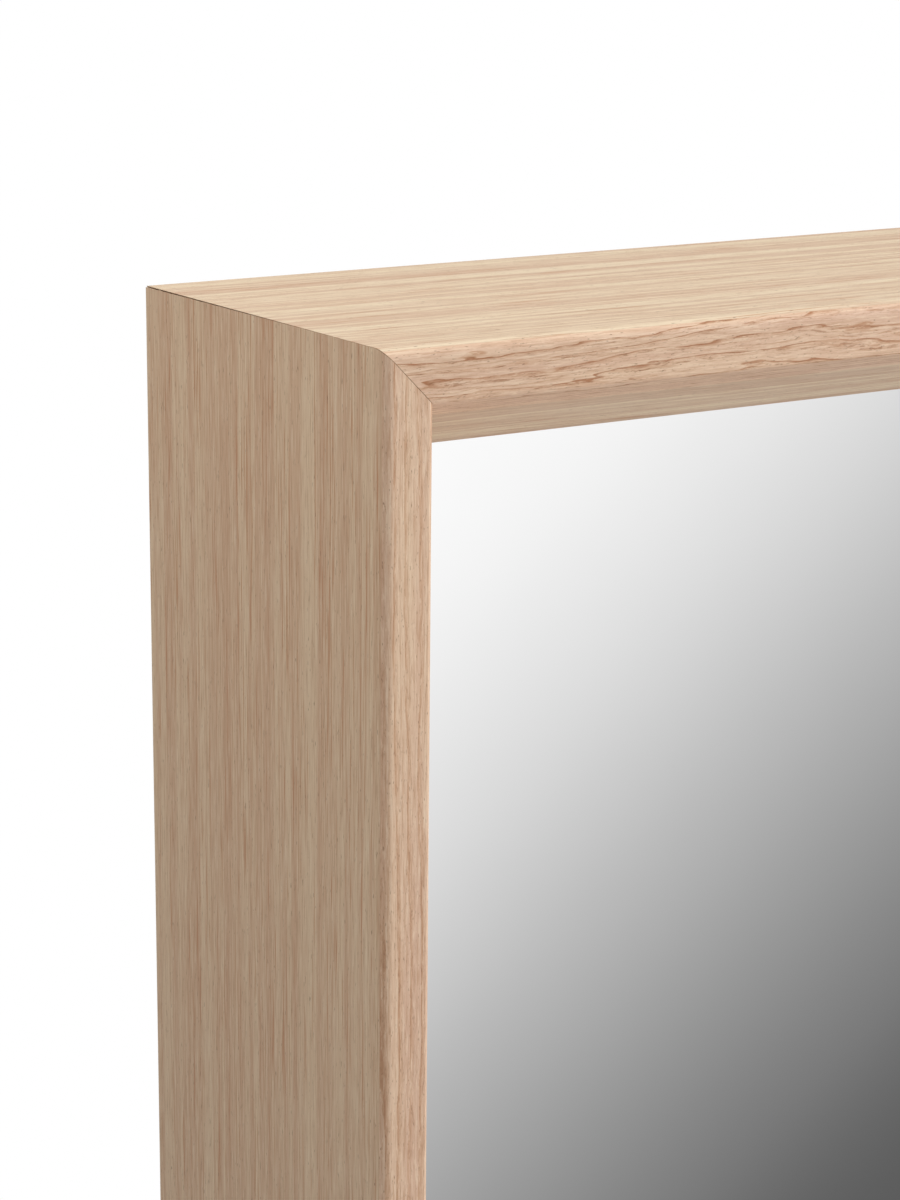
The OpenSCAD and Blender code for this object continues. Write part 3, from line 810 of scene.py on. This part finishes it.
def rail_nut_drill(side):
    """The hole for a barrel nut, in from the stretcher's back face."""
    start = (side * (POST_IN - RAIL_NUT_IN), rail_hi.y, BOLT_Z)
    return drill(start, (0, -1, 0), (BARREL_R, rail_hi.y + RAIL_NUT_HOLE))


def foot_bolt_drills(side):
    """The holes for the two bolts up through a foot into its post."""
    steps = ((RECESS_R, 16 * MM), (BOLT_R, FOOT_NUT_Z - FOOT_Z))
    starts = [(side * POST_X, y, FOOT_Z + ARCH_H) for y in (-FOOT_BOLT_Y, FOOT_BOLT_Y)]
    return [drill(start, (0, 0, 1), *steps) for start in starts]


def foot_nut_drills(side):
    """The holes for those bolts' barrel nuts, in from the post's inner face."""
    starts = [(side * POST_IN, y, FOOT_NUT_Z) for y in (-FOOT_BOLT_Y, FOOT_BOLT_Y)]
    return [drill(start, (side, 0, 0), (BARREL_R, FOOT_NUT_HOLE)) for start in starts]


def post(name, side, seed):
    """An upright: rounded top about the pivot, softened edges, bored for the bush."""
    r = POST_D / 2
    top = arc(0, PIVOT.z, r, 0, 180, 48)
    outline = [(-r, FOOT_TOP), (r, FOOT_TOP)] + top
    obj = extruded(f"{name}_wood", outline, POST_T, SOFT_EDGE, lambda middle: middle.y > FOOT_TOP + CLEAR)
    place(obj, (0, side, 0), (0, 0, 1), (side, 0, 0), (side * POST_X, 0, 0))
    bush_steps = ((BUSH_FLANGE_R, BUSH_FLANGE_T), (BUSH_R, POST_T + MM))
    bush = drill((side * POST_IN, 0, PIVOT.z), (side, 0, 0), *bush_steps)
    cut(obj, bush, *foot_bolt_drills(side), *foot_nut_drills(side), *rail_joint_drills(side))
    grain(obj, seed)
    piece(obj, "stand", "ash", SOLID, name)


def foot(name, side, seed):
    """A foot: level under the post, sloping to rounded toes, hollowed a little underneath."""
    flat, toe_r = 45 * MM, 10 * MM
    reach = FOOT_L / 2 - toe_r - flat
    drop = FOOT_TOP - FOOT_Z - toe_r
    slope = math.atan2(drop, reach) - math.asin(toe_r / math.hypot(reach, drop))
    tip = flat + (FOOT_TOP - FOOT_Z) / math.tan(slope)
    arch = FOOT_L / 2 - 70 * MM
    half = [
        (arch - 3 * ARCH_H, FOOT_Z + ARCH_H, 25 * MM), (arch, FOOT_Z, 12 * MM),
        (tip, FOOT_Z, toe_r), (flat, FOOT_TOP, 60 * MM),
    ]
    outline = rounded(half + [(-y, z, r) for y, z, r in reversed(half)], 12)
    obj = extruded(f"{name}_wood", outline, FOOT_W, SOFT_EDGE)
    place(obj, (0, side, 0), (0, 0, 1), (side, 0, 0), (side * POST_X, 0, 0))
    pins = []
    for end in ("front", "back"):
        lo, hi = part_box(f"{end}_{name.split('_')[0]}_glide")
        start = ((lo.x + hi.x) / 2, (lo.y + hi.y) / 2, FOOT_Z)
        pins.append(drill(start, (0, 0, 1), (GLIDE_PIN_R, hi.z - FOOT_Z)))
    cut(obj, *pins, *foot_bolt_drills(side))
    grain(obj, seed, "xzy")
    piece(obj, "stand", "ash", SOLID, name)


def stretcher():
    """The rail between the posts."""
    soft = 2 * MM
    outline = rounded([
        (rail_hi.y, rail_hi.z, soft), (rail_lo.y, rail_hi.z, soft),
        (rail_lo.y, rail_lo.z, soft), (rail_hi.y, rail_lo.z, soft),
    ])
    obj = extruded("stretcher_wood", outline, rail_hi.x - rail_lo.x)
    place(obj, (0, 1, 0), (0, 0, 1), (1, 0, 0), (0, 0, 0))
    for side in (-1, 1):
        cut(obj, rail_nut_drill(side), *rail_joint_drills(side))
    grain(obj, 31, "yzx")
    piece(obj, "stand", "ash", SOLID, "stretcher")


# ---- Turned pieces ----

def turned(node, body, slot, material, outline, side, start_x, seed=None):
    """A piece turned about a pivot: outline (radius, distance outwards from start_x)."""
    obj = lathe(f"{node}_turned", outline)
    place(obj, (0, side, 0), (0, 0, 1), (side, 0, 0), (side * start_x, 0, PIVOT.z))
    if seed is not None:
        grain(obj, seed)
    piece(obj, body, slot, material, node)


def washer_outline(inner_r, outer_r, thick, soft):
    """A flat ring with softened outer edges."""
    outer = outer_r - soft
    return ([(inner_r, 0)] + arc(outer, soft, soft, -90, 0, 5) + arc(outer, thick - soft, soft, 0, 90, 5)
            + [(inner_r, thick)])


def knob_outline(r, length):
    """Collar, hollowed neck and a rounded head with a fine groove round it and a gently domed face."""
    collar_r, collar_h, neck_r = 15 * MM, 4 * MM, 12.5 * MM
    head_h, round_r, groove = 18 * MM, 5 * MM, 0.6 * MM
    under = length - head_h
    middle = under + head_h / 2
    seat_r, seat_h, insert_r, insert_h = 10 * MM, 1.5 * MM, 7 * MM, 23 * MM
    fillet, dome_h = 2.5 * MM, 0.8 * MM
    dome = [(x * (r - round_r), length - dome_h * x * x) for x in (0.9, 0.75, 0.6, 0.45, 0.3, 0.15, 0)]
    return (
        [(0, insert_h), (insert_r, insert_h), (insert_r, seat_h), (seat_r, seat_h), (seat_r, 0)]
        + arc(collar_r - MM, MM, MM, -90, 0, 6)
        + arc(collar_r - MM, collar_h - MM, MM, 0, 90, 6)
        + arc(neck_r + MM, collar_h + MM, MM, 270, 180, 6)
        + arc(neck_r + fillet, under - fillet, fillet, 180, 90, 8)
        + arc(r - round_r, under + round_r, round_r, -90, 0, 14)
        + arc(r, middle, groove, 270, 90, 8)
        + arc(r - round_r, length - dome_h - round_r, round_r, 0, 88, 14)
        + dome
    )


STUD_R = 5.05 * MM
KNOB_GAP = 0.05 * MM                             # keeps the knob's face clear of its washer


def pivot_turnings(side, name, seed):
    """The leather washer between frame and post, and the clamp washer and knob outside the post."""
    lo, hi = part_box(f"{name}_friction_washer")
    friction = washer_outline(STUD_R, (hi.z - lo.z) / 2, hi.x - lo.x, 0.5 * MM)
    turned(f"{name}_friction_washer", "stand", "leather", LEATHER, friction, side, -LEFT)
    lo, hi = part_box(f"{name}_clamp_washer")
    clamp = washer_outline(STUD_R, (hi.z - lo.z) / 2, hi.x - lo.x, 0.3 * MM)
    turned(f"{name}_clamp_washer", f"{name}_clamp", "zinc_steel", STEEL, clamp, side, POST_OUT)
    start = POST_OUT + hi.x - lo.x + KNOB_GAP
    lo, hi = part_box(f"{name}_knob")
    knob = knob_outline((hi.z - lo.z) / 2, hi.x - lo.x - KNOB_GAP)
    turned(f"{name}_knob", f"{name}_knob_turner", "ash_solid", SOLID, knob, side, start, seed)


def glide(end):
    """A round pad under a toe, with a pin up into the foot."""
    lo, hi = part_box(f"{end}_glide")
    r = (hi.x - lo.x) / 2
    pad = [(0, 0)] + arc(r - MM, MM, MM, -90, 0, 6) + [(r, FOOT_Z)]
    pin = [(GLIDE_PIN_R, FOOT_Z), (GLIDE_PIN_R, hi.z - MM), (GLIDE_PIN_TIP, hi.z), (0, hi.z)]
    obj = lathe(f"{end}_glide_nylon", pad + pin, 64)
    place(obj, (1, 0, 0), (0, 1, 0), (0, 0, 1), ((lo.x + hi.x) / 2, (lo.y + hi.y) / 2, 0))
    piece(obj, "stand", "nylon", NYLON, f"{end}_glide")


for number, (side, name) in enumerate(((-1, "left"), (1, "right"))):
    post(f"{name}_post", side, 20 + number)
    foot(f"{name}_foot", side, 24 + number)
    pivot_turnings(side, name, 28 + number)
stretcher()
for end in ("front_left", "front_right", "back_left", "back_right"):
    glide(end)

# ---- Carried-over CAD nodes ----

CAD_LOOKS = {
    GLASS: ["mirror_plate"],
    FOAM: ["glazing_tape"],
    HARDBOARD: ["back_panel"],
    HIDDEN_ASH: ["mitre_splines", "stretcher_dowels"],
    STEEL: ["brace_top_left", "brace_top_right", "brace_bottom_left", "brace_bottom_right",
            "left_pivot_plate", "right_pivot_plate", "foot_bolts", "foot_barrel_nuts",
            "stretcher_bolts", "stretcher_barrel_nuts"],
    BRASS: ["left_pivot_bush", "right_pivot_bush", "left_knob_insert", "right_knob_insert"],
}
for material, names in CAD_LOOKS.items():
    for name in names:
        node_obj = frame["nodes"][name]
        node_obj.data.materials.clear()
        node_obj.data.materials.append(material)


# ---- Studio ----

FLOOR_R = 2.6
FLOOR_FADE = (0.8, 2.2)
FLOOR_GLOW = 0.34                                # lifts the floor's shade, like light through a paper sweep
LIGHT_TERMS = ((0, 0.76), (1, 0.12), (1, -0.22), (2, -0.80))     # (axis, strength along it or against it)
LIGHT_BASE = 0.09
GLASS_LEAN, GLASS_LEAN_RANGE = (0.501, 0.528, -0.686), (-0.05, 1.0)
GLASS_SHADES = (
    (0.0, 1.0), (0.067, 0.91), (0.150, 0.49), (0.240, 0.15), (0.31, 0.05), (0.45, 0.40), (1.0, 0.7),
)
FACING, FACING_RANGE, FACING_GREY = (-0.6, -0.77, -0.2), (0.60, 1.0), (0.30, 0.30, 0.31, 1)
CAMERA_FROM_CORNER = Vector((-0.3077, -0.5018, 0.0970))
CAMERA_YAW, CAMERA_PITCH, CAMERA_ROLL = 32.88, 14.18, 0.54
CAMERA_LENS, CAMERA_SENSOR = 88.68, 36


def floor():
    """A pale floor that fades into the white round about."""
    bm = bmesh.new()
    bmesh.ops.create_circle(bm, cap_ends=True, segments=96, radius=FLOOR_R)
    obj = make("floor", bm)
    s = Shader("floor")
    spot = s.node("TexCoord").outputs["Object"]
    away = s.node("VectorMath", spot, operation="LENGTH").outputs["Value"]
    s.finish(base_color=srgb(240, 239, 237), roughness=0.8)
    s.finish(emission_color=srgb(255, 254, 252), emission_strength=FLOOR_GLOW)
    clear = s.node("BsdfTransparent")
    fade = s.node("MixShader", s.clamped(away, *FLOOR_FADE), s.surface.outputs[0], clear.outputs[0])
    s.tree.links.new(fade.outputs[0], s.tree.nodes["Material Output"].inputs[0])
    obj.data.materials.append(s.material)


def area_light(name, at, aim, size, power, colour=(1, 1, 1)):
    """A round soft light that the camera doesn't see."""
    light = bpy.data.lights.new(name, "AREA")
    light.shape = "DISK"
    light.size = size
    light.energy = power
    light.color = colour
    obj = bpy.data.objects.new(name, light)
    bpy.context.scene.collection.objects.link(obj)
    obj.location = at
    obj.rotation_euler = (Vector(aim) - Vector(at)).to_track_quat("-Z", "Y").to_euler()
    obj.visible_camera = False


def reflected_studio(n, way):
    """What the glass and the metal show: white above, a dark band low on the right, grey straight ahead."""
    lean = n.node("VectorMath", way, GLASS_LEAN, operation="DOT_PRODUCT").outputs["Value"]
    shades = n.node("ValToRGB", n.clamped(lean, *GLASS_LEAN_RANGE))
    shades.color_ramp.interpolation = "B_SPLINE"
    while len(shades.color_ramp.elements) < len(GLASS_SHADES):
        shades.color_ramp.elements.new(0.5)
    for element, (spot, value) in zip(shades.color_ramp.elements, GLASS_SHADES):
        element.position = spot
        element.color = (value, value, value, 1)
    ahead = n.node("VectorMath", way, FACING, operation="DOT_PRODUCT").outputs["Value"]
    return n.tinted(shades.outputs[0], n.clamped(ahead, *FACING_RANGE), 0.8, FACING_GREY)


def soft_light(n, way):
    """Light for everything matt: a base all round, more from the right and from below."""
    total = LIGHT_BASE
    across = n.node("SeparateXYZ", way).outputs
    for axis, strength in LIGHT_TERMS:
        side = n.math("MAXIMUM", n.math("MULTIPLY", across[axis], strength), 0.0)
        total = n.math("ADD", side, total)
    return total


def world():
    """White round about for the eye, with other light for matt things and for reflections."""
    made = bpy.data.worlds.new("studio")
    made.use_nodes = True
    made.node_tree.nodes.clear()
    n = Nodes(made.node_tree)
    way = n.node("TexCoord").outputs["Generated"]
    ray = n.node("LightPath").outputs
    light = n.mix(ray["Is Glossy Ray"], soft_light(n, way), reflected_studio(n, way))
    sky = n.node("Background", n.mix(ray["Is Camera Ray"], light, (1, 1, 1, 1)))
    n.node("OutputWorld", sky.outputs[0])
    bpy.context.scene.world = made


def camera():
    """At the left of the top left corner and a little above it, looking down along the front."""
    data = bpy.data.cameras.new("camera")
    data.lens = CAMERA_LENS
    data.sensor_width = CAMERA_SENSOR
    data.clip_start = 0.01
    data.clip_end = 50
    obj = bpy.data.objects.new("camera", data)
    bpy.context.scene.collection.objects.link(obj)
    yaw, pitch, roll = (math.radians(a) for a in (CAMERA_YAW, CAMERA_PITCH, CAMERA_ROLL))
    ahead = Vector((math.sin(yaw) * math.cos(pitch), math.cos(yaw) * math.cos(pitch), -math.sin(pitch)))
    across = Vector((math.cos(yaw), -math.sin(yaw), 0))
    up = across.cross(ahead)
    right = across * math.cos(roll) + up * math.sin(roll)
    above = up * math.cos(roll) - across * math.sin(roll)
    turn = Matrix((right, above, -ahead)).transposed().to_4x4()
    corner = Vector((LEFT, FRONT, TOP))
    obj.matrix_world = Matrix.Translation(corner + CAMERA_FROM_CORNER) @ turn
    bpy.context.scene.camera = obj


def lights():
    """Soft lights near the photographed corner, and one behind for the back."""
    corner = (LEFT, 0, TOP - 0.1)
    area_light("front_right", (0.76, -0.70, 2.08), corner, 0.7, 10.6)
    area_light("left", (-0.75, 0.02, 2.10), corner, 0.35, 1.9, (1.0, 0.95, 0.89))
    area_light("behind", (0.9, 2.0, 0.95), (0, 0, MID_Z), 1.0, 24)
    area_light("overhead", (0.1, 0.2, 2.9), corner, 1.0, 6.9)


floor()
world()
lights()
camera()
bpy.context.scene.view_settings.view_transform = "Standard"
